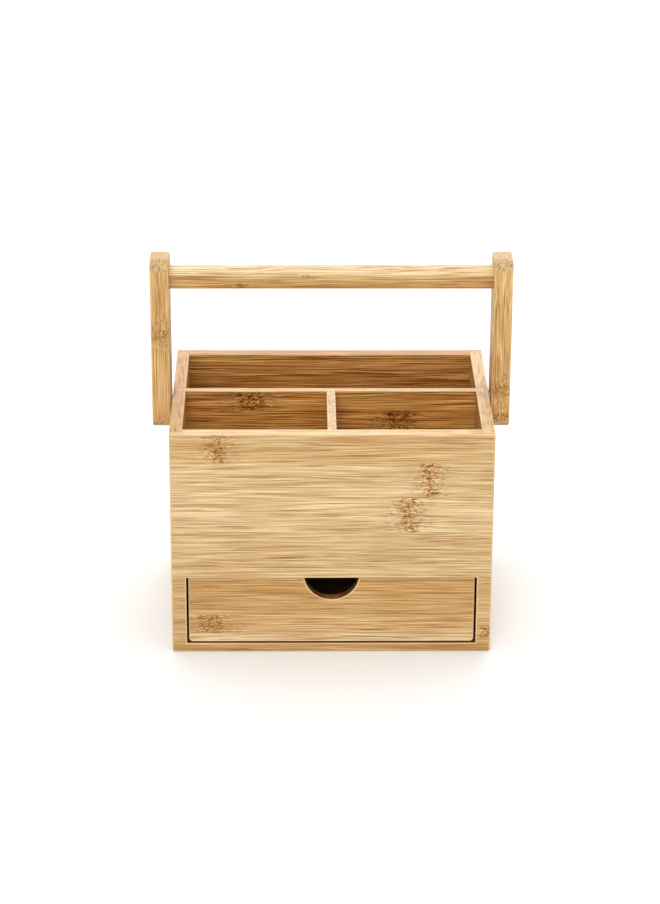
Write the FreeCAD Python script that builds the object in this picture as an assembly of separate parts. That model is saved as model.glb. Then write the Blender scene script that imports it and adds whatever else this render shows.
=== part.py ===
"""A bamboo desk caddy: three open compartments over a drawer, carried by a swinging handle.

The case is glued from boards. The front and rear boards are rabbeted at their ends and the side
boards sit in those rabbets. A long divider is housed in both sides, a short one splits the front
half, and a floor in grooves parts the compartments from the drawer below, which slides on the
base board through a window in the front board. Each handle arm turns on a countersunk screw,
held off the case by a washer, and a round rod glued into both arms joins them.

Frame: +Z up, the front faces -Y, origin on the table under the middle of the case. Millimetres.
"""

import FreeCAD
import Part

import math
import os

# ---- case boards
case_width = 200.0
case_depth = 146.0
case_height = 148.0
front_thickness = 9.0
rear_thickness = 8.6
side_thickness = 8.0
divider_thickness = 5.6
floor_thickness = 5.0
base_thickness = 5.8  # its top is level with the bottom of the drawer window

# ---- case joints
corner_lip = 3.5  # front and rear boards, where they cover the ends of the side boards
divider_housing = 4.5  # depth of the slots that hold the long divider
short_housing = 2.0  # depth of the slots that hold the short divider
floor_groove = 3.0  # depth of the grooves round the compartment floor
base_rabbet = 4.0  # how far the base board reaches into the side boards
divider_setback = 1.9  # long divider's centre behind the middle of the case

# ---- window for the drawer
window_jamb = 1.2  # front board between the window and the inner face of a side board
window_height = 45.4
floor_above_window = 2.0

# ---- drawer
drawer_front_thickness = 6.8
drawer_wall = 6.0
drawer_bottom_thickness = 3.5
drawer_side_gap = 1.2  # each side, to the window
drawer_top_gap = 0.5
drawer_slide_gap = 0.3  # to the base board
drawer_rear_gap = 0.8  # to the rear board, which is its stop
drawer_recess = 1.0  # drawer front behind the case front
drawer_side_drop = 6.0  # drawer sides below the top of its front
drawer_lap = 3.5  # how far the drawer sides reach into its front
drawer_groove = 2.5
drawer_bottom_rise = 3.0
drawer_front_lift = 0.5  # lower edge of the front above the drawer sides
drawer_corner_radius = 2.5  # lower corners of the drawer front
notch_radius = 17.3
notch_depth = 15.2  # below the top of the window

# ---- handle
arm_width = 27.0
arm_thickness = 11.8
arm_corner_radius = 7.5
arm_upper_end = 14.0  # arm above the rod's centre
arm_lower_end = 13.0  # arm below its pivot
pivot_below_rim = 8.5
rod_diameter = 15.0
rod_socket_depth = 6.0
swing_clearance = 1.5  # between the rod and the front edge of the rim as the handle swings over
washer_diameter = 12.0
washer_thickness = 1.0
arm_running_gap = 0.1  # between washer and arm

# ---- pivot screws
screw_diameter = 3.5
screw_head_diameter = 7.0
screw_head_height = 2.2
screw_tip = 2.5
screw_bite = 20.0  # threaded length inside the case
thread_pitch = 1.4
thread_depth = 0.4
head_sink = 0.4  # head below the arm's outer face
drive_slot_width = 0.9
drive_slot_length = 4.0
drive_slot_depth = 1.5

# ---- fits
glued_clearance = 0.05  # radial, rod in its sockets and screw thread in its pilot hole
pivot_clearance = 0.08  # radial, screw in the arm and in the washer

# ---- eased edges
board_ease = 0.8
thin_ease = 0.5
arm_ease = 1.0
foot_radius = 1.5  # lower corners of the case and of the drawer sides

# ---- places worked out from the sizes above
half_width = case_width / 2
half_depth = case_depth / 2
inner_half = half_width - side_thickness
inner_front = front_thickness - half_depth
inner_rear = half_depth - rear_thickness
side_front = corner_lip - half_depth
side_rear = half_depth - corner_lip
window_half = inner_half - window_jamb
window_top = base_thickness + window_height
floor_bottom = window_top + floor_above_window
floor_top = floor_bottom + floor_thickness
divider_front = divider_setback - divider_thickness / 2
divider_rear = divider_setback + divider_thickness / 2

pivot_y = divider_setback
pivot_z = case_height - pivot_below_rim
handle_reach = math.hypot(half_depth + pivot_y, pivot_below_rim) + rod_diameter / 2 + swing_clearance
rod_z = pivot_z + handle_reach
arm_inner = half_width + washer_thickness + arm_running_gap
arm_outer = arm_inner + arm_thickness
head_face = arm_outer - head_sink
thread_end = half_width - screw_bite

drawer_half = window_half - drawer_side_gap
drawer_inner = drawer_half - drawer_wall
drawer_low = base_thickness + drawer_slide_gap
drawer_high = window_top - drawer_top_gap
drawer_face = drawer_recess - half_depth
drawer_front_rear = drawer_face + drawer_front_thickness
drawer_end = inner_rear - drawer_rear_gap
drawer_side_top = drawer_high - drawer_side_drop
drawer_floor_low = drawer_low + drawer_bottom_rise
drawer_floor_high = drawer_floor_low + drawer_bottom_thickness

right = FreeCAD.Vector(1, 0, 0)
past = 1.0  # how far a cutter runs out of the face it opens


def block(x, y, z):
    """A box between two X, two Y and two Z values, each pair in either order."""
    x, y, z = sorted(x), sorted(y), sorted(z)
    return Part.makeBox(x[1] - x[0], y[1] - y[0], z[1] - z[0], FreeCAD.Vector(x[0], y[0], z[0]))


def peg(radius, x, z):
    """A cylinder along X between two X values, in the handle's plane at height z."""
    return Part.makeCylinder(radius, x[1] - x[0], FreeCAD.Vector(x[0], pivot_y, z), right)


def mirrored(shape):
    return shape.mirror(FreeCAD.Vector(0, 0, 0), right)


def lies_on(edge, axis, value):
    """True if the whole edge lies in the plane where that axis has that value."""
    box = edge.BoundBox
    low, high = {"X": (box.XMin, box.XMax), "Y": (box.YMin, box.YMax), "Z": (box.ZMin, box.ZMax)}[axis]
    return abs(low - value) < 1e-4 and abs(high - value) < 1e-4


def ease(shape, radius, *arrises):
    """Rounds the edges in all the planes of any arris, each arris given as {axis: value, ...}."""
    chosen = [e for e in shape.Edges if any(all(lies_on(e, *p) for p in a.items()) for a in arrises)]
    return shape.makeFillet(radius, chosen)


# ---------------------------------------------------------------- case


def end_board(outer, inner, lip):
    """A front or rear board between two Y faces. Beside the case's inner width it stops at lip."""
    board = block((-half_width, half_width), (outer, lip), (0, case_height))
    board = ease(board, foot_radius, {"X": -half_width, "Z": 0}, {"X": half_width, "Z": 0})
    top = {"Z": case_height}
    board = ease(board, board_ease, {"X": -half_width, **top}, {"X": half_width, **top})
    board = ease(board, board_ease, {"Y": outer})
    tongue = block((-inner_half, inner_half), (lip, inner), (0, case_height))
    tongue = ease(tongue, board_ease, {"Y": inner, **top})
    return board.fuse(tongue).removeSplitter().cut(floor_board())


def floor_board():
    reach = inner_half + floor_groove
    y = (inner_front - floor_groove, inner_rear + floor_groove)
    return block((-reach, reach), y, (floor_bottom, floor_top))


def front_panel():
    face = -half_depth
    board = end_board(face, inner_front, side_front)
    y = (face - past, inner_front + past)
    window = block((-window_half, window_half), y, (base_thickness, window_top))
    board = board.cut(window).cut(short_divider_room())
    sides = [{"X": side * window_half, "Y": face} for side in (-1, 1)]
    return ease(board, thin_ease, *sides, {"Y": face, "Z": base_thickness}, {"Y": face, "Z": window_top})


def rear_panel():
    return end_board(half_depth, inner_rear, side_rear)


def right_side_panel():
    board = block((inner_half, half_width), (side_front, side_rear), (0, case_height))
    for room in (long_divider_room(), floor_board(), base_panel()):
        board = board.cut(room)
    top = {"Z": case_height}
    board = ease(board, board_ease, {"X": inner_half, **top}, {"X": half_width, **top})
    board = ease(board, foot_radius, {"X": half_width, "Z": 0})
    return board.cut(pilot_hole())


def base_panel():
    reach = inner_half + base_rabbet
    return block((-reach, reach), (inner_front, inner_rear), (0, base_thickness))


def long_divider_room():
    """The space of the long divider, with its ends in the side boards."""
    reach = inner_half + divider_housing
    return block((-reach, reach), (divider_front, divider_rear), (floor_top, case_height))


def short_divider_room():
    """The space of the short divider, with its ends in the front board and the long divider."""
    side = divider_thickness / 2
    y = (inner_front - short_housing, divider_front + short_housing)
    return block((-side, side), y, (floor_top, case_height))


def pilot_hole():
    """The hole that a pivot screw's thread fills, from inside the divider to outside the case."""
    return peg(screw_diameter / 2 + glued_clearance, (thread_end, half_width), pivot_z)


def long_divider():
    board = long_divider_room().cut(short_divider_room())
    top = {"Z": case_height}
    board = ease(board, thin_ease, {"Y": divider_front, **top}, {"Y": divider_rear, **top})
    return board.cut(pilot_hole()).cut(mirrored(pilot_hole()))


def short_divider():
    side = divider_thickness / 2
    top = {"Z": case_height}
    return ease(short_divider_room(), thin_ease, {"X": -side, **top}, {"X": side, **top})


# ---------------------------------------------------------------- drawer


def drawer_bottom():
    """The thin bottom, held in grooves in the boards round it."""
    reach = drawer_inner + drawer_groove
    y = (drawer_front_rear - drawer_groove, drawer_end - drawer_wall + drawer_groove)
    return block((-reach, reach), y, (drawer_floor_low, drawer_floor_high))


def drawer_side_room():
    """The space of the right side, its front end lapped into the drawer front."""
    y = (drawer_front_rear - drawer_lap, drawer_end)
    side = block((drawer_inner, drawer_half), y, (drawer_low, drawer_side_top))
    return ease(side, foot_radius, {"X": drawer_half, "Z": drawer_low})


def drawer_front():
    low_edge = drawer_low + drawer_front_lift
    board = block((-drawer_half, drawer_half), (drawer_face, drawer_front_rear), (low_edge, drawer_high))
    low = {"Z": low_edge}
    board = ease(board, drawer_corner_radius, {"X": -drawer_half, **low}, {"X": drawer_half, **low})
    board = ease(board, thin_ease, {"Y": drawer_face})
    centre = FreeCAD.Vector(0, drawer_face - past, window_top - notch_depth + notch_radius)
    along = FreeCAD.Vector(0, 1, 0)
    notch = Part.makeCylinder(notch_radius, drawer_front_thickness + 2 * past, centre, along)
    for room in (drawer_side_room(), mirrored(drawer_side_room()), notch, drawer_bottom()):
        board = board.cut(room)
    return board


def drawer_right_side():
    side = drawer_side_room().cut(drawer_bottom())
    top = {"Z": drawer_side_top}
    return ease(side, thin_ease, {"X": drawer_inner, **top}, {"X": drawer_half, **top})


def drawer_back():
    y = (drawer_end - drawer_wall, drawer_end)
    board = block((-drawer_inner, drawer_inner), y, (drawer_low, drawer_side_top)).cut(drawer_bottom())
    top = {"Z": drawer_side_top}
    return ease(board, thin_ease, {"Y": y[0], **top}, {"Y": y[1], **top})


# ---------------------------------------------------------------- handle


def handle_rod():
    end = arm_inner + rod_socket_depth
    rod = peg(rod_diameter / 2, (-end, end), rod_z)
    ends = [e for e in rod.Edges if lies_on(e, "X", -end) or lies_on(e, "X", end)]
    return rod.makeChamfer(thin_ease, ends)


def countersink():
    """The room for a screw's head in the right arm: its cone, and a straight mouth outside it."""
    wide = screw_head_diameter / 2 + pivot_clearance
    start = FreeCAD.Vector(head_face - screw_head_height, pivot_y, pivot_z)
    cone = Part.makeCone(screw_diameter / 2 + pivot_clearance, wide, screw_head_height, start, right)
    return cone.fuse(peg(wide, (head_face, arm_outer + past), pivot_z))


def right_handle_arm():
    low, high = pivot_z - arm_lower_end, rod_z + arm_upper_end
    front, rear = pivot_y - arm_width / 2, pivot_y + arm_width / 2
    board = block((arm_inner, arm_outer), (front, rear), (low, high))
    corners = [{"Y": y, "Z": z} for y in (front, rear) for z in (low, high)]
    board = ease(board, min(arm_corner_radius, arm_width / 2 - arm_ease), *corners)
    board = ease(board, arm_ease, {"X": arm_inner}, {"X": arm_outer})
    socket = peg(rod_diameter / 2 + glued_clearance, (0, arm_inner + rod_socket_depth), rod_z)
    pivot_hole = peg(screw_diameter / 2 + pivot_clearance, (0, arm_outer), pivot_z)
    return board.cut(socket).cut(pivot_hole).cut(countersink())


def right_pivot_screw():
    """A countersunk cross-head screw, its shank through the arm and its thread in the case."""
    radius = screw_diameter / 2
    root = radius - thread_depth
    neck = head_face - screw_head_height
    outline = [(head_face, 0), (head_face, screw_head_diameter / 2)]
    outline += [(neck, radius), (half_width, radius)]
    turns = int((screw_bite - screw_tip) / thread_pitch)
    for turn in range(turns):
        crest = half_width - turn * thread_pitch
        outline += [(crest - thread_pitch / 2, root), (crest - thread_pitch, radius)]
    outline += [(thread_end + screw_tip / 2, root), (thread_end, 0)]
    points = [FreeCAD.Vector(x, pivot_y, pivot_z + r) for x, r in outline]
    section = Part.Face(Part.makePolygon(points + points[:1]))
    body = section.revolve(FreeCAD.Vector(0, pivot_y, pivot_z), right, 360)
    depth = (head_face - drive_slot_depth, head_face + past)
    long_half, thin_half = drive_slot_length / 2, drive_slot_width / 2
    for half_y, half_z in ((long_half, thin_half), (thin_half, long_half)):
        y = (pivot_y - half_y, pivot_y + half_y)
        body = body.cut(block(depth, y, (pivot_z - half_z, pivot_z + half_z)))
    return body


def right_spacer_washer():
    x = (half_width, half_width + washer_thickness)
    bore = peg(screw_diameter / 2 + pivot_clearance, x, pivot_z)
    return peg(washer_diameter / 2, x, pivot_z).cut(bore)


nodes = {
    "front_panel": front_panel(),
    "rear_panel": rear_panel(),
    "base_panel": base_panel(),
    "compartment_floor": floor_board(),
    "long_divider": long_divider(),
    "short_divider": short_divider(),
    "drawer_front": drawer_front(),
    "drawer_back": drawer_back(),
    "drawer_bottom": drawer_bottom(),
    "handle_rod": handle_rod(),
}
sided = {
    "{}_side_panel": right_side_panel(),
    "drawer_{}_side": drawer_right_side(),
    "{}_handle_arm": right_handle_arm(),
    "{}_pivot_screw": right_pivot_screw(),
    "{}_spacer_washer": right_spacer_washer(),
}
for pattern, shape in sided.items():
    nodes[pattern.format("right")] = shape
    nodes[pattern.format("left")] = mirrored(shape)

os.makedirs("parts", exist_ok=True)
for name, shape in nodes.items():
    shape.exportStep(f"parts/{name}.step")

# the angles of the handle at which its rod would meet the front and rear boards
for name, wall in (("forwards", half_depth + pivot_y), ("backwards", half_depth - pivot_y)):
    touch = 180 - math.degrees(math.asin((wall + rod_diameter / 2) / handle_reach))
    print(f"the rod meets the case {touch:.2f} degrees {name} of upright")
print(f"pivot at y {pivot_y:.2f}, z {pivot_z:.2f}; rod at z {rod_z:.2f}")
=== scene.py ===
import math

import bpy
from mathutils import Matrix, Vector


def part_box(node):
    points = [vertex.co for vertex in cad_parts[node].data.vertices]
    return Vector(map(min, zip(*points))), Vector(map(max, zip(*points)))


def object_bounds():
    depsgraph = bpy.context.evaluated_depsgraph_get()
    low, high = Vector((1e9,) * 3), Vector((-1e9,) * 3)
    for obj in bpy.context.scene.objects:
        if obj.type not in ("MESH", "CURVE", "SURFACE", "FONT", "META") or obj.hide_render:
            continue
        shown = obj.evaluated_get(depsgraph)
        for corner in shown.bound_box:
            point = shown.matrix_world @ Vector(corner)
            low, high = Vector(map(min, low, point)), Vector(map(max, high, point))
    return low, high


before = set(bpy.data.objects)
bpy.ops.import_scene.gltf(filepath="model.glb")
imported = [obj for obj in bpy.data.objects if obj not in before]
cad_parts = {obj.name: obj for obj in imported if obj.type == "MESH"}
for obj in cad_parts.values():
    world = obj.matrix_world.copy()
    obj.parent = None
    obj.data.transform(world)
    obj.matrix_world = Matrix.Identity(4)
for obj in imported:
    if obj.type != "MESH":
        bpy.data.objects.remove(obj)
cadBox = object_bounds()
print("frame loaded:", len(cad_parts), "boards, screws and washers")


# small helpers for the node trees

def setSocket(tree, socket, value):
    if isinstance(value, bpy.types.NodeSocket):
        tree.links.new(value, socket)
    else:
        socket.default_value = value


def calc(tree, operation, *values, clamp=False):
    node = tree.nodes.new("ShaderNodeMath")
    node.operation = operation
    node.use_clamp = clamp
    for socket, value in zip(node.inputs, values):
        setSocket(tree, socket, value)
    return node.outputs[0]


def ease(tree, value, low, high, start=0.0, end=1.0):
    node = tree.nodes.new("ShaderNodeMapRange")
    node.interpolation_type = "SMOOTHSTEP"
    for name, number in (("Value", value), ("From Min", low), ("From Max", high),
                         ("To Min", start), ("To Max", end)):
        setSocket(tree, node.inputs[name], number)
    return node.outputs["Result"]


def point(tree, x, y, z):
    node = tree.nodes.new("ShaderNodeCombineXYZ")
    for socket, value in zip(node.inputs, (x, y, z)):
        setSocket(tree, socket, value)
    return node.outputs[0]


def cloud(tree, where, detail=2.0, roughness=0.5, distortion=0.0):
    node = tree.nodes.new("ShaderNodeTexNoise")
    node.inputs["Scale"].default_value = 1.0
    node.inputs["Detail"].default_value = detail
    node.inputs["Roughness"].default_value = roughness
    node.inputs["Distortion"].default_value = distortion
    setSocket(tree, node.inputs["Vector"], where)
    return node.outputs["Fac"]


def chance(tree, value):
    node = tree.nodes.new("ShaderNodeTexWhiteNoise")
    node.noise_dimensions = "1D"
    setSocket(tree, node.inputs["W"], value)
    return node.outputs["Value"]


def blendColour(tree, factor, first, second, kind="MIX"):
    node = tree.nodes.new("ShaderNodeMix")
    node.data_type = "RGBA"
    node.blend_type = kind
    node.clamp_factor = True
    setSocket(tree, node.inputs["Factor"], factor)
    for socket, value in ((node.inputs[6], first), (node.inputs[7], second)):
        if isinstance(value, tuple):
            value = (*value, 1.0)
        setSocket(tree, socket, value)
    return node.outputs[2]


def tinted(tree, colour, tint):
    return blendColour(tree, 1.0, colour, tint, "MULTIPLY")


def reachOf(tree, first, second):  # distance from the origin of two coordinates
    squares = calc(tree, "ADD", calc(tree, "POWER", first, 2.0), calc(tree, "POWER", second, 2.0))
    return calc(tree, "SQRT", squares)


def newMaterial(name):
    material = bpy.data.materials.new(name)
    material.use_nodes = True
    tree = material.node_tree
    return material, tree, tree.nodes["Principled BSDF"]


def roughen(tree, shader, height, strength, depth):
    bump = tree.nodes.new("ShaderNodeBump")
    bump.inputs["Strength"].default_value = strength
    bump.inputs["Distance"].default_value = depth
    tree.links.new(height, bump.inputs["Height"])
    tree.links.new(bump.outputs[0], shader.inputs["Normal"])


def giveTo(node, material):
    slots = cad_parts[node].data.materials
    if len(slots):
        slots[0] = material
    else:
        slots.append(material)


# bamboo

# all lengths in a bamboo dictionary are millimetres on the real board
bamboo = {
    "light": (0.81, 0.61, 0.34),     # pale straw between the fibres
    "middle": (0.64, 0.44, 0.205),
    "deep": (0.46, 0.25, 0.078),     # caramel streaks
    "line": (0.24, 0.10, 0.024),     # thin brown fibre lines
    "endGrain": (0.60, 0.42, 0.23),
    "stripWidth": 23.5,
    "stripStart": 129.2,
    "stripTone": 0.30,               # how much one strip differs from the next
    "stripTintsAndLight": (),                # (where it starts across the grain, tint), lowest first; some of these tints are painted light and shade
    # pitch along the grain, pitch across it, detail, offset along the grain
    "broadGrain": (170.0, 3.6, 2.0, 0.0),
    "fineGrain": (44.0, 0.34, 1.0, 11.0),
    "darkDashes": (28.0, 0.38, 1.0, 23.0),
    "paleDashes": (22.0, 0.34, 1.0, 41.0),
    "knotFibres": (6.0, 0.40, 1.0, 57.0),  # drawn together beside a knot
    "streaks": 1.0,
    "lines": 0.9,
    "paleDashTint": (1.34, 1.45, 1.7),
    "knots": (),                     # (along the grain, across it, half its length, half its width)
    "knotEvery": 260.0,              # chance knots on boards, 0 for none
    "knotStrength": 1.0,
    "knotGround": (0.94, 0.84, 0.64),
    "knotFleck": (0.42, 0.25, 0.09),
    "knotPale": (1.22, 1.26, 1.30),
    "insideFaces": "",               # faces that look into the caddy, such as -Y, or Y for both
    "insideShadeGamma": 1.7,              # painted shade: makes them darker and redder, before their tint
    # tint of that painted shade
    "insideShadeTint": (1.10, 1.10, 1.10),
    "lowDownShadeTint": (0.78, 0.70, 0.52),  # painted shade, deeper further below the rim
    "edgeLightAndShade": (1.0, 1.0, 1.0),     # painted light and shade on the narrow faces along the grain
    "edgeKnots": 0.1,                # how much of a knot shows on them
    "edgePores": 0.0,                # how far they show cut fibre ends
    "litAndShadedFrame": (),                 # a sawn opening in X and Z: centre, centre, half width, half height; its front arrises get a painted highlight
    "frameShadeTint": (0.40, 0.22, 0.10),  # painted shade on its sawn faces
    "litAndShadedRing": (),                  # a round cut in X and Z: centre, centre, radius; its arris gets a painted highlight
    # painted shade on the round cut's face
    "ringShadeTint": (0.62, 0.43, 0.24),
    "wearAndHighlight": 0.30,
    "roughness": 0.40,
    "specular": 0.28,
    "coat": 0.07,
    "coatRoughness": 0.30,
    "reliefStrength": 0.35,
    "reliefDepth": 0.00012,          # metres
    "seed": 1.0,
}


def bambooWood(name, node, grain, across, changes):
    look = {**bamboo, **changes}
    low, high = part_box(node)
    middle = (low + high) / 2 * 1000
    half = (high - low) / 2 * 1000

    material, tree, shader = newMaterial(name)

    where = tree.nodes.new("ShaderNodeTexCoord")
    scaled = tree.nodes.new("ShaderNodeMapping")  # metres to millimetres
    scaled.inputs["Scale"].default_value = (1000, 1000, 1000)
    tree.links.new(where.outputs["Object"], scaled.inputs["Vector"])
    split = tree.nodes.new("ShaderNodeSeparateXYZ")
    tree.links.new(scaled.outputs[0], split.inputs[0])
    axes = dict(zip("XYZ", split.outputs))
    along, over = axes[grain], axes[across]
    through = axes[({"X", "Y", "Z"} - {grain, across}).pop()]

    # strips glued side by side, each from another part of the culm
    stripPlace = calc(tree, "DIVIDE", calc(tree, "SUBTRACT", over, look["stripStart"]), look["stripWidth"])
    strip = calc(tree, "FLOOR", stripPlace)
    stripChance = chance(tree, calc(tree, "ADD", strip, look["seed"] * 7.31))
    shift = calc(tree, "MULTIPLY", stripChance, 900.0)
    seam = calc(tree, "ABSOLUTE", calc(tree, "SUBTRACT", calc(tree, "FRACT", stripPlace), 0.5))
    seam = ease(tree, seam, 0.5 - 0.35 / look["stripWidth"], 0.5)

    # where the knots are, and how near one is
    core = near = 0.0
    wobble = cloud(tree, point(tree, calc(tree, "MULTIPLY", along, 0.12),
                               calc(tree, "MULTIPLY", over, 0.35), through), 2.0)
    wobble = calc(tree, "MULTIPLY", calc(tree, "SUBTRACT", wobble, 0.5), 9.0)
    spots = []
    for alongAt, overAt, reach, width in look["knots"]:
        away = calc(tree, "ABSOLUTE", calc(tree, "SUBTRACT", calc(tree, "ADD", along, wobble), alongAt))
        side = calc(tree, "ABSOLUTE", calc(tree, "SUBTRACT", over, overAt))
        inside = ease(tree, side, width - 0.6, width + 0.2, 1.0, 0.0)
        spots.append((calc(tree, "DIVIDE", away, reach), inside))
    if look["knotEvery"]:
        run = calc(tree, "ADD", calc(tree, "DIVIDE", calc(tree, "ADD", along, wobble), look["knotEvery"]),
                   calc(tree, "MULTIPLY", stripChance, 37.7))
        away = calc(tree, "ABSOLUTE", calc(tree, "SUBTRACT", calc(tree, "FRACT", run), 0.5))
        spots.append((calc(tree, "MULTIPLY", away, look["knotEvery"] / 5.5), 1.0))
    facing = tree.nodes.new("ShaderNodeSeparateXYZ")  # which way the surface looks
    tree.links.new(where.outputs["Normal"], facing.inputs[0])
    sideCut = ease(tree, calc(tree, "ABSOLUTE", facing.outputs["XYZ".index(across)]), 0.55, 0.85)
    for away, inside in spots:
        hidden = calc(tree, "MULTIPLY", sideCut, 1.0 - look["edgeKnots"])
        inside = calc(tree, "MULTIPLY", inside, calc(tree, "SUBTRACT", 1.0, hidden))
        one = calc(tree, "MULTIPLY", ease(tree, away, 0.6, 1.2, 1.0, 0.0), inside)
        wide = calc(tree, "MULTIPLY", ease(tree, away, 0.9, 3.6, 1.0, 0.0), inside)
        core = calc(tree, "MAXIMUM", core, one)
        near = calc(tree, "MAXIMUM", near, wide)

    # fibres run along the board and bend round the knots
    drift = cloud(tree, point(tree, calc(tree, "MULTIPLY", along, 0.014),
                              calc(tree, "MULTIPLY", over, 0.05), calc(tree, "MULTIPLY", shift, 0.1)), 1.0)
    ripple = cloud(tree, point(tree, calc(tree, "MULTIPLY", along, 0.26),
                               calc(tree, "MULTIPLY", over, 0.5), through), 1.0)
    slow = calc(tree, "MULTIPLY", calc(tree, "SUBTRACT", drift, 0.5), 2.4)
    quick = calc(tree, "MULTIPLY", calc(tree, "MULTIPLY", calc(tree, "SUBTRACT", ripple, 0.5), near), 2.6)
    bend = calc(tree, "ADD", slow, quick)
    fibre = calc(tree, "ADD", over, bend)
    start = calc(tree, "ADD", along, shift)

    def grainCloud(longPitch, widePitch, detail, slip):
        return cloud(tree, point(tree,
                                 calc(tree, "ADD", calc(tree, "DIVIDE", start, longPitch), slip),
                                 calc(tree, "DIVIDE", fibre, widePitch),
                                 calc(tree, "DIVIDE", through, widePitch)), detail)

    broad, fine, dashes, glints, gather = (
        grainCloud(*look[layer])
        for layer in ("broadGrain", "fineGrain", "darkDashes", "paleDashes", "knotFibres"))

    tone = calc(tree, "ADD",
                calc(tree, "MULTIPLY", calc(tree, "SUBTRACT", broad, 0.5), 0.5 * look["streaks"]),
                calc(tree, "MULTIPLY", calc(tree, "SUBTRACT", fine, 0.5), 4.6 * look["streaks"]))
    tone = calc(tree, "ADD", tone, calc(tree, "MULTIPLY", calc(tree, "SUBTRACT", stripChance, 0.5),
                                        look["stripTone"]))
    tone = calc(tree, "ADD", tone, 0.5, clamp=True)
    ramp = tree.nodes.new("ShaderNodeValToRGB")
    ramp.color_ramp.elements[0].color = (*look["deep"], 1)
    ramp.color_ramp.elements[1].color = (*look["light"], 1)
    ramp.color_ramp.elements.new(0.45).color = (*look["middle"], 1)
    tree.links.new(tone, ramp.inputs[0])
    colour = ramp.outputs["Color"]
    if look["stripTintsAndLight"]:
        tints = tree.nodes.new("ShaderNodeValToRGB")
        tints.color_ramp.interpolation = "CONSTANT"
        span = (low["XYZ".index(across)] * 1000, high["XYZ".index(across)] * 1000)
        for number, (startsAt, tint) in enumerate(look["stripTintsAndLight"]):
            place = max(0.0, (startsAt - span[0]) / (span[1] - span[0]))
            mark = tints.color_ramp.elements[0] if number == 0 else tints.color_ramp.elements.new(place)
            mark.position = place
            mark.color = (*tint, 1)
        tints.color_ramp.elements.remove(tints.color_ramp.elements[-1])
        tree.links.new(calc(tree, "DIVIDE", calc(tree, "SUBTRACT", over, span[0]), span[1] - span[0]),
                       tints.inputs[0])
        colour = tinted(tree, colour, tints.outputs["Color"])

    patchy = ease(tree, broad, 0.35, 0.62, 1.0, 0.35)  # lines come in groups
    thin = calc(tree, "MULTIPLY", ease(tree, dashes, 0.54, 0.68), patchy)
    beside = calc(tree, "MULTIPLY", ease(tree, gather, 0.52, 0.66), near)
    thin = calc(tree, "MAXIMUM", calc(tree, "MAXIMUM", thin, beside), calc(tree, "MULTIPLY", seam, 0.5))
    colour = blendColour(tree, calc(tree, "MULTIPLY", thin, look["lines"]), colour, look["line"])
    colour = blendColour(tree, calc(tree, "MULTIPLY", ease(tree, glints, 0.56, 0.70), 0.55), colour,
                         tinted(tree, colour, look["paleDashTint"]))

    # knots: short brown flecks and a few pale ones over a browner ground
    flecks = cloud(tree, point(tree, calc(tree, "MULTIPLY", along, 0.62), calc(tree, "MULTIPLY", fibre, 1.5),
                               calc(tree, "MULTIPLY", through, 1.5)), 1.0, 0.5)
    core = calc(tree, "MULTIPLY", core, look["knotStrength"])
    fleckShare = calc(tree, "MULTIPLY", ease(tree, flecks, 0.52, 0.60), core)
    paleShare = calc(tree, "MULTIPLY", ease(tree, flecks, 0.36, 0.44, 1.0, 0.0), core)
    colour = blendColour(tree, calc(tree, "MULTIPLY", core, 0.7), colour,
                         tinted(tree, colour, look["knotGround"]))
    colour = blendColour(tree, calc(tree, "MULTIPLY", fleckShare, 0.95), colour,
                         tinted(tree, colour, look["knotFleck"]))
    colour = blendColour(tree, calc(tree, "MULTIPLY", paleShare, 0.8), colour,
                         tinted(tree, colour, look["knotPale"]))

    # end grain: rows of small dark fibre ends, drawn out where the cut is oblique
    endFace = ease(tree, calc(tree, "ABSOLUTE", facing.outputs["XYZ".index(grain)]), 0.10, 0.42)
    cells = tree.nodes.new("ShaderNodeTexVoronoi")
    cells.inputs["Scale"].default_value = 1.0
    tree.links.new(point(tree, calc(tree, "MULTIPLY", along, 0.06), calc(tree, "MULTIPLY", over, 0.72),
                         calc(tree, "MULTIPLY", through, 0.72)), cells.inputs["Vector"])
    dots = ease(tree, cells.outputs["Distance"], 0.22, 0.46, 1.0, 0.0)
    rims = ease(tree, cells.outputs["Distance"], 0.55, 0.85)
    ends = blendColour(tree, calc(tree, "MULTIPLY", dots, 0.75), look["endGrain"], look["line"])
    ends = blendColour(tree, calc(tree, "MULTIPLY", rims, 0.6), ends,
                       tuple(min(1.0, c * 1.35) for c in look["endGrain"]))
    shaded = calc(tree, "MULTIPLY", calc(tree, "SUBTRACT", 1.0, broad), 0.3)
    ends = blendColour(tree, shaded, ends, look["deep"])
    colour = blendColour(tree, endFace, colour, ends)
    if look["edgePores"]:
        colour = blendColour(tree, calc(tree, "MULTIPLY", sideCut, look["edgePores"]), colour, ends)

    # the narrow faces along the grain are a side cut of the strips; their tint is painted light and shade, a
    # paler, creamier sheen on the front panel's top and darker tops on the rear panel, sides and long
    # divider
    if look["edgeLightAndShade"] != (1.0, 1.0, 1.0):
        colour = blendColour(tree, sideCut, colour, tinted(tree, colour, look["edgeLightAndShade"]))
    # painted shade: the faces that look into the caddy are made darker and redder, more so low down, for the
    # shade inside the compartments
    if look["insideFaces"]:
        looks = facing.outputs["XYZ".index(look["insideFaces"][-1])]
        if len(look["insideFaces"]) == 1:
            looks = calc(tree, "ABSOLUTE", looks)
        elif look["insideFaces"][0] == "-":
            looks = calc(tree, "MULTIPLY", looks, -1.0)
        darker = tree.nodes.new("ShaderNodeGamma")
        darker.inputs["Gamma"].default_value = look["insideShadeGamma"]
        tree.links.new(colour, darker.inputs["Color"])
        inward = ease(tree, looks, 0.55, 0.85)
        colour = blendColour(tree, inward, colour, tinted(tree, darker.outputs["Color"], look["insideShadeTint"]))
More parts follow.
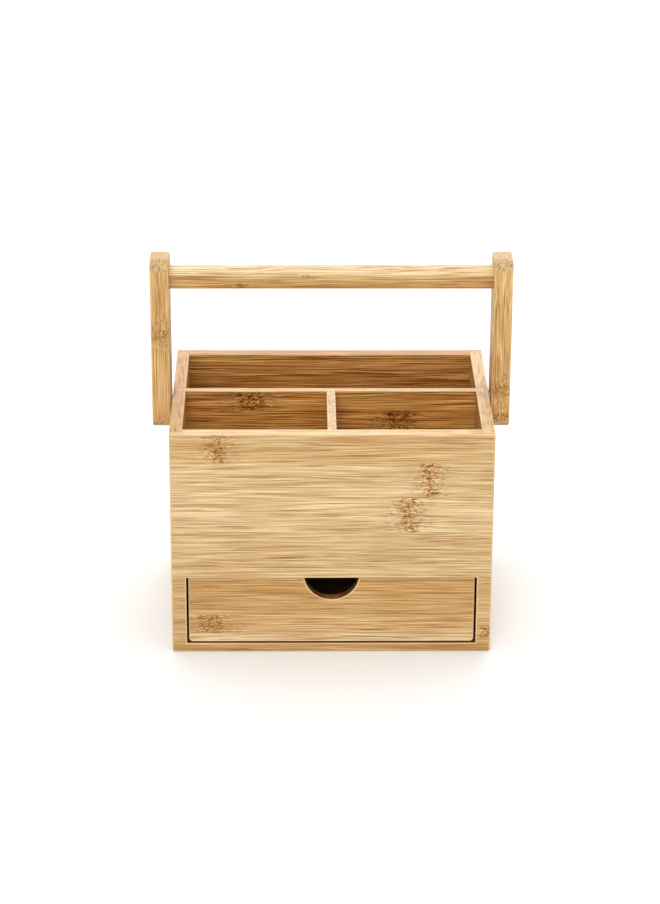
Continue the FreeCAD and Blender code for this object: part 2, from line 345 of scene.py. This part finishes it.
        # painted shade growing towards the bottom of the compartments
        lowDown = ease(tree, axes["Z"], high.z * 1000 - 34.0, high.z * 1000 - 6.0, 1.0, 0.0)
        colour = blendColour(tree, calc(tree, "MULTIPLY", inward, lowDown), colour,
                             tinted(tree, colour, look["lowDownShadeTint"]))

    # edges a little paler and smoother: rubbed wear, and a painted highlight along the arrises
    edges = []
    for letter, centre, reach in zip("XYZ", middle, half):
        off = calc(tree, "ABSOLUTE", calc(tree, "SUBTRACT", axes[letter], centre))
        edges.append(calc(tree, "SUBTRACT", reach, off))
    nearTwo = calc(tree, "MAXIMUM", calc(tree, "MINIMUM", edges[0], edges[1]),
                   calc(tree, "MINIMUM", calc(tree, "MAXIMUM", edges[0], edges[1]), edges[2]))
    wornAndLitEdges = ease(tree, calc(tree, "ADD", nearTwo, calc(tree, "MULTIPLY", fine, 0.9)), 0.5, 1.7, 1.0, 0.0)
    # the window opening: a painted highlight along its front arrises and painted shade on its sawn faces
    if look["litAndShadedFrame"]:
        acrossAt, upAt, halfAcross, halfUp = look["litAndShadedFrame"]
        fromMiddle = calc(tree, "ABSOLUTE", calc(tree, "SUBTRACT", axes["X"], acrossAt))
        fromLevel = calc(tree, "ABSOLUTE", calc(tree, "SUBTRACT", axes["Z"], upAt))
        outside = calc(tree, "MAXIMUM", calc(tree, "SUBTRACT", fromMiddle, halfAcross),
                       calc(tree, "SUBTRACT", fromLevel, halfUp))
        arris = ease(tree, calc(tree, "ABSOLUTE", outside), 0.3, 1.1, 1.6, 0.0)
        frontSide = ease(tree, facing.outputs["Y"], -0.9, 0.2, 1.0, 0.0)
        wornAndLitEdges = calc(tree, "MAXIMUM", wornAndLitEdges, calc(tree, "MULTIPLY", arris, frontSide))
        cutFaceShade = calc(tree, "MULTIPLY", ease(tree, outside, 0.2, 0.6, 1.0, 0.0),
                    ease(tree, calc(tree, "ABSOLUTE", facing.outputs["Y"]), 0.3, 0.8, 1.0, 0.0))
        colour = blendColour(tree, cutFaceShade, colour, tinted(tree, colour, look["frameShadeTint"]))
    # the finger notch: a painted highlight along its arris and painted shade on its cut face, under the
    # front panel's edge
    if look["litAndShadedRing"]:
        acrossAt, upAt, radius = look["litAndShadedRing"]
        fromCentre = reachOf(tree, calc(tree, "SUBTRACT", axes["X"], acrossAt),
                             calc(tree, "SUBTRACT", axes["Z"], upAt))
        flat = ease(tree, calc(tree, "ABSOLUTE", facing.outputs["Y"]), 0.3, 0.8)
        offRing = calc(tree, "ABSOLUTE", calc(tree, "SUBTRACT", fromCentre, radius))
        arris = ease(tree, offRing, 0.3, 1.1, 1.8, 0.0)
        wornAndLitEdges = calc(tree, "MAXIMUM", wornAndLitEdges, calc(tree, "MULTIPLY", arris, flat))
        cutFaceShade = calc(tree, "MULTIPLY", ease(tree, fromCentre, radius + 0.1, radius + 0.4, 1.0, 0.0),
                    calc(tree, "SUBTRACT", 1.0, flat))
        colour = blendColour(tree, cutFaceShade, colour, tinted(tree, colour, look["ringShadeTint"]))
    # paler edges: wear and painted highlight
    colour = blendColour(tree, calc(tree, "MULTIPLY", wornAndLitEdges, look["wearAndHighlight"]), colour,
                         tuple(min(1.0, c * 1.28) for c in look["light"]))
    tree.links.new(colour, shader.inputs["Base Color"])

    gloss = calc(tree, "ADD", look["roughness"], calc(tree, "MULTIPLY", fine, 0.16))
    gloss = calc(tree, "ADD", gloss, calc(tree, "MULTIPLY", core, 0.10))
    gloss = calc(tree, "SUBTRACT", gloss, calc(tree, "MULTIPLY", wornAndLitEdges, 0.06))
    gloss = calc(tree, "ADD", gloss, calc(tree, "MULTIPLY", endFace, 0.12))
    tree.links.new(gloss, shader.inputs["Roughness"])
    shader.inputs["IOR"].default_value = 1.46
    shader.inputs["Specular IOR Level"].default_value = look["specular"]
    shader.inputs["Coat Weight"].default_value = look["coat"]
    shader.inputs["Coat Roughness"].default_value = look["coatRoughness"]

    height = calc(tree, "SUBTRACT", calc(tree, "MULTIPLY", fine, 0.6), calc(tree, "MULTIPLY", thin, 0.5))
    height = calc(tree, "SUBTRACT", height, calc(tree, "MULTIPLY", fleckShare, 0.6))
    height = calc(tree, "SUBTRACT", height,
                  calc(tree, "MULTIPLY", calc(tree, "MULTIPLY", dots, endFace), 0.5))
    roughen(tree, shader, height, look["reliefStrength"], look["reliefDepth"])
    giveTo(node, material)


# the drawer's window and its finger notch in millimetres, from the drawer front's own box
window = {"topGap": 0.5, "sideGap": 1.2, "notchRadius": 17.3, "notchDepth": 15.2}
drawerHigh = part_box("drawer_front")[1] * 1000
windowTop = drawerHigh.z + window["topGap"]
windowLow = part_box("base_panel")[1].z * 1000
windowHalf = drawerHigh.x + window["sideGap"]
notchMiddle = windowTop - window["notchDepth"] + window["notchRadius"]

caseBoards = {
    # node: (grain, across, what differs from the common bamboo)
    "front_panel": ("X", "Z", {
        "seed": 1.0, "knotEvery": 0, "insideFaces": "+Y", "streaks": 0.82, "edgeLightAndShade": (1.02, 1.09, 1.20),
        "litAndShadedFrame": (0.0, (windowLow + windowTop) / 2, windowHalf, (windowTop - windowLow) / 2),
        "knots": ((-69.9, 138.5, 5.0, 9.5), (60.3, 117.4, 5.0, 11.6), (47.7, 93.9, 6.0, 11.6),
                  (97.4, 13.5, 4.0, 4.0)),
        # painted shade: the two lowest strips are darker, for the light falling off towards the bottom
        "stripTintsAndLight": ((0.0, (0.86, 0.74, 0.58)), (5.8, (0.94, 0.86, 0.76)), (51.2, (1.0, 1.0, 1.0)),
                       (105.7, (1.02, 1.03, 1.05)), (129.2, (0.98, 0.94, 0.88)))}),
    "rear_panel": ("X", "Z", {"seed": 2.0, "insideFaces": "-Y", "streaks": 1.5, "knotEvery": 0,
                              "knots": ((35.0, 93.9, 6.0, 11.6), (-58.0, 47.0, 5.5, 11.6)),
                              "insideShadeTint": (1.06, 1.00, 0.86), "edgeLightAndShade": (0.66, 0.50, 0.37)}),
    "left_side_panel": ("Y", "Z", {"seed": 3.0, "insideFaces": "+X", "edgeLightAndShade": (0.85, 0.69, 0.50),
                                   "edgePores": 0.8}),
    "right_side_panel": ("Y", "Z", {"seed": 4.0, "insideFaces": "-X", "edgeLightAndShade": (0.98, 0.95, 0.85),
                                    "edgePores": 0.8}),
    "base_panel": ("X", "Y", {"seed": 5.0, "insideFaces": "+Z"}),
    "compartment_floor": ("X", "Y", {"seed": 6.0, "insideFaces": "Z"}),
    "long_divider": ("X", "Z", {"seed": 7.0, "insideFaces": "Y", "stripWidth": 13.0, "knotEvery": 0,
                                "stripStart": 134.5, "streaks": 1.5, "edgeLightAndShade": (0.90, 0.82, 0.70),
                                "insideShadeTint": (1.30, 1.20, 1.02),
                                "knots": ((-51.4, 141.0, 8.0, 6.3), (42.8, 128.0, 7.0, 6.3))}),
    "short_divider": ("Z", "Y", {"seed": 8.0, "insideFaces": "X", "knotEvery": 0,
                                 "endGrain": (0.62, 0.45, 0.27)}),
}
drawerBoards = {
    "drawer_front": ("X", "Z", {
        "seed": 9.0, "insideFaces": "+Y", "litAndShadedRing": (0.0, notchMiddle, window["notchRadius"]),
        # painted shade: the drawer front's end faces in the side gaps get a very dark end grain
        "stripWidth": 13.0, "stripStart": 12.3, "stripTone": 0.1, "endGrain": (0.26, 0.13, 0.05),
        "knotEvery": 0, "knots": ((-76.3, 18.9, 8.0, 6.4),),
        # painted shade: the upper strips are darker, under the front panel's edge; the bottom strip is paler
        "stripTintsAndLight": ((0.0, (1.14, 1.22, 1.36)), (12.3, (0.97, 0.90, 0.80)), (25.6, (0.84, 0.70, 0.53)),
                       (38.4, (0.85, 0.71, 0.49)))}),
    "drawer_back": ("X", "Z", {"seed": 10.0, "insideFaces": "-Y"}),
    "drawer_left_side": ("Y", "Z", {"seed": 11.0, "insideFaces": "X"}),
    "drawer_right_side": ("Y", "Z", {"seed": 12.0, "insideFaces": "X"}),
    # painted shade: the drawer bottom's inner face is made much darker, so the inside of the drawer looks
    # black through the notch
    "drawer_bottom": ("X", "Y", {"seed": 13.0, "insideFaces": "Z", "insideShadeTint": (0.40, 0.36, 0.30)}),
}
armTint = ((-20.0, (0.93, 0.79, 0.60)),)
handleParts = {
    "left_handle_arm": ("Z", "Y", {"seed": 14.0, "knotEvery": 0, "stripStart": -12.0, "stripWidth": 30.0,
                                   "stripTintsAndLight": armTint, "edgeKnots": 1.0,
                                   "streaks": 1.3, "knotStrength": 0.55, "endGrain": (0.53, 0.35, 0.17),
                                   "knots": ((190.0, 2.0, 4.5, 20.0),)}),
    "right_handle_arm": ("Z", "Y", {"seed": 15.0, "knotEvery": 0, "stripStart": -12.0, "stripWidth": 30.0,
                                    "stripTintsAndLight": ((-20.0, (1.02, 0.90, 0.72)),), "edgeKnots": 1.0,
                                    "streaks": 1.3, "endGrain": (0.55, 0.38, 0.20),
                                    "knots": ((153.0, 2.0, 4.5, 20.0), (133.0, 2.0, 4.5, 20.0))}),
    "handle_rod": ("X", "Z", {"seed": 16.0, "knotEvery": 0, "stripStart": 200.0, "stripWidth": 40.0,
                              "edgeKnots": 1.0, "streaks": 1.5, "lines": 1.0,
                              # painted light and shade: the rod's top strip is paler and creamier, the strip
                              # below it darker and the lowest more orange
                              "stripTintsAndLight": ((216.0, (1.04, 0.90, 0.66)), (222.0, (0.90, 0.80, 0.60)),
                                             (227.0, (1.05, 1.10, 1.18))),
                              "knots": ((-57.0, 219.5, 3.5, 2.5), (-14.6, 226.0, 2.0, 1.6))}),
}
for boards in (caseBoards, drawerBoards, handleParts):
    for node, (grain, across, changes) in boards.items():
        bambooWood(node.replace("_", " ") + " bamboo", node, grain, across, changes)
print("bamboo on the boards")


# pivot screws and washers

zincSteel = {
    "bright": (0.62, 0.61, 0.59),
    "dull": (0.44, 0.43, 0.41),
    "rings": 5.0,          # turning marks per millimetre
    "roughness": 0.30,
    "reliefStrength": 0.25,
    "reliefDepth": 0.00003,  # metres
}


def turnedSteel(name, node):
    look = zincSteel
    low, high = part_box(node)
    centre = (low + high) / 2
    material, tree, shader = newMaterial(name)
    where = tree.nodes.new("ShaderNodeTexCoord")
    centred = tree.nodes.new("ShaderNodeMapping")
    centred.inputs["Location"].default_value = tuple(-1000 * c for c in centre)
    centred.inputs["Scale"].default_value = (1000, 1000, 1000)
    tree.links.new(where.outputs["Object"], centred.inputs["Vector"])
    split = tree.nodes.new("ShaderNodeSeparateXYZ")
    tree.links.new(centred.outputs[0], split.inputs[0])
    fromAxis = reachOf(tree, split.outputs["Y"], split.outputs["Z"])
    ring = calc(tree, "SINE", calc(tree, "MULTIPLY", fromAxis, look["rings"] * 2 * math.pi))
    dull = cloud(tree, centred.outputs[0], 4.0, 0.6)
    mixed = calc(tree, "ADD", calc(tree, "MULTIPLY", ring, 0.10), dull)
    colour = blendColour(tree, ease(tree, mixed, 0.35, 0.7), look["dull"], look["bright"])
    tree.links.new(colour, shader.inputs["Base Color"])
    shader.inputs["Metallic"].default_value = 1.0
    rough = calc(tree, "MULTIPLY", calc(tree, "SUBTRACT", 1.0, dull), 0.22)
    rough = calc(tree, "ADD", look["roughness"], rough)
    tree.links.new(rough, shader.inputs["Roughness"])
    roughen(tree, shader, mixed, look["reliefStrength"], look["reliefDepth"])
    giveTo(node, material)


for node in ("left_pivot_screw", "right_pivot_screw", "left_spacer_washer", "right_spacer_washer"):
    turnedSteel(node.replace("_", " ") + " zinc steel", node)
print("steel on the screws and washers")


# studio

studio = {
    "floorSize": 16.0,
    "floorColour": (0.83, 0.83, 0.825),
    "worldColour": (1.0, 1.0, 1.0),
    "worldStrength": 0.56,
    # name: (place, looks at, width, height, power)
    "lights": {
        "overhead": ((0.0, 0.6, 3.5), (0.0, 0.6, 0.0), 6.0, 6.0, 150.0),
        "front": ((-0.35, -2.1, 1.5), (0.0, 0.0, 0.1), 1.1, 1.1, 18.0),
        "behind": ((0.2, 2.3, 1.15), (0.0, 0.0, 0.15), 2.0, 0.9, 22.0),
    },
}

bpy.ops.object.select_all(action="DESELECT")
bpy.ops.mesh.primitive_plane_add(size=studio["floorSize"], location=(0, 0, cadBox[0].z))
floor = bpy.context.active_object
floor.name = "studioFloor"
floorPaint, tree, shader = newMaterial("pale studio floor")
where = tree.nodes.new("ShaderNodeTexCoord")
patches = cloud(tree, where.outputs["Object"], 3.0)
paler = tuple(c * 1.02 for c in studio["floorColour"])
tree.links.new(blendColour(tree, patches, studio["floorColour"], paler), shader.inputs["Base Color"])
shader.inputs["Roughness"].default_value = 0.85
shader.inputs["Specular IOR Level"].default_value = 0.1
floor.data.materials.append(floorPaint)

world = bpy.data.worlds.new("studio")
bpy.context.scene.world = world
world.use_nodes = True
world.node_tree.nodes["Background"].inputs["Color"].default_value = (*studio["worldColour"], 1)
world.node_tree.nodes["Background"].inputs["Strength"].default_value = studio["worldStrength"]

for name, (place, target, width, height, power) in studio["lights"].items():
    lamp = bpy.data.lights.new(name, "AREA")
    lamp.shape = "RECTANGLE"
    lamp.size, lamp.size_y = width, height
    lamp.energy = power
    holder = bpy.data.objects.new(name, lamp)
    bpy.context.scene.collection.objects.link(holder)
    holder.location = place
    holder.rotation_euler = (Vector(target) - Vector(place)).to_track_quat("-Z", "Y").to_euler()
bpy.context.scene.view_settings.view_transform = "Standard"

viewer = {
    "place": (-0.0217, -1.6851, 0.8159),
    "turn": 0.724,     # degrees to the right
    "down": 22.85,
    "roll": 0.241,
    "lens": 155.8,
}
turn, down, roll = (math.radians(viewer[k]) for k in ("turn", "down", "roll"))
forward = Vector((math.sin(turn) * math.cos(down), math.cos(turn) * math.cos(down), -math.sin(down)))
right = Vector((math.cos(turn), -math.sin(turn), 0))
up = right.cross(forward)
right, up = (right * math.cos(roll) + up * math.sin(roll), up * math.cos(roll) - right * math.sin(roll))
lens = bpy.data.cameras.new("camera")
lens.sensor_fit = "HORIZONTAL"
lens.sensor_width = 36
lens.lens = viewer["lens"]
lens.clip_end = 50
camera = bpy.data.objects.new("camera", lens)
bpy.context.scene.collection.objects.link(camera)
aim = Matrix((right, up, -forward)).transposed().to_4x4()
camera.matrix_world = Matrix.Translation(viewer["place"]) @ aim
bpy.context.scene.camera = camera
print("studio and camera ready")
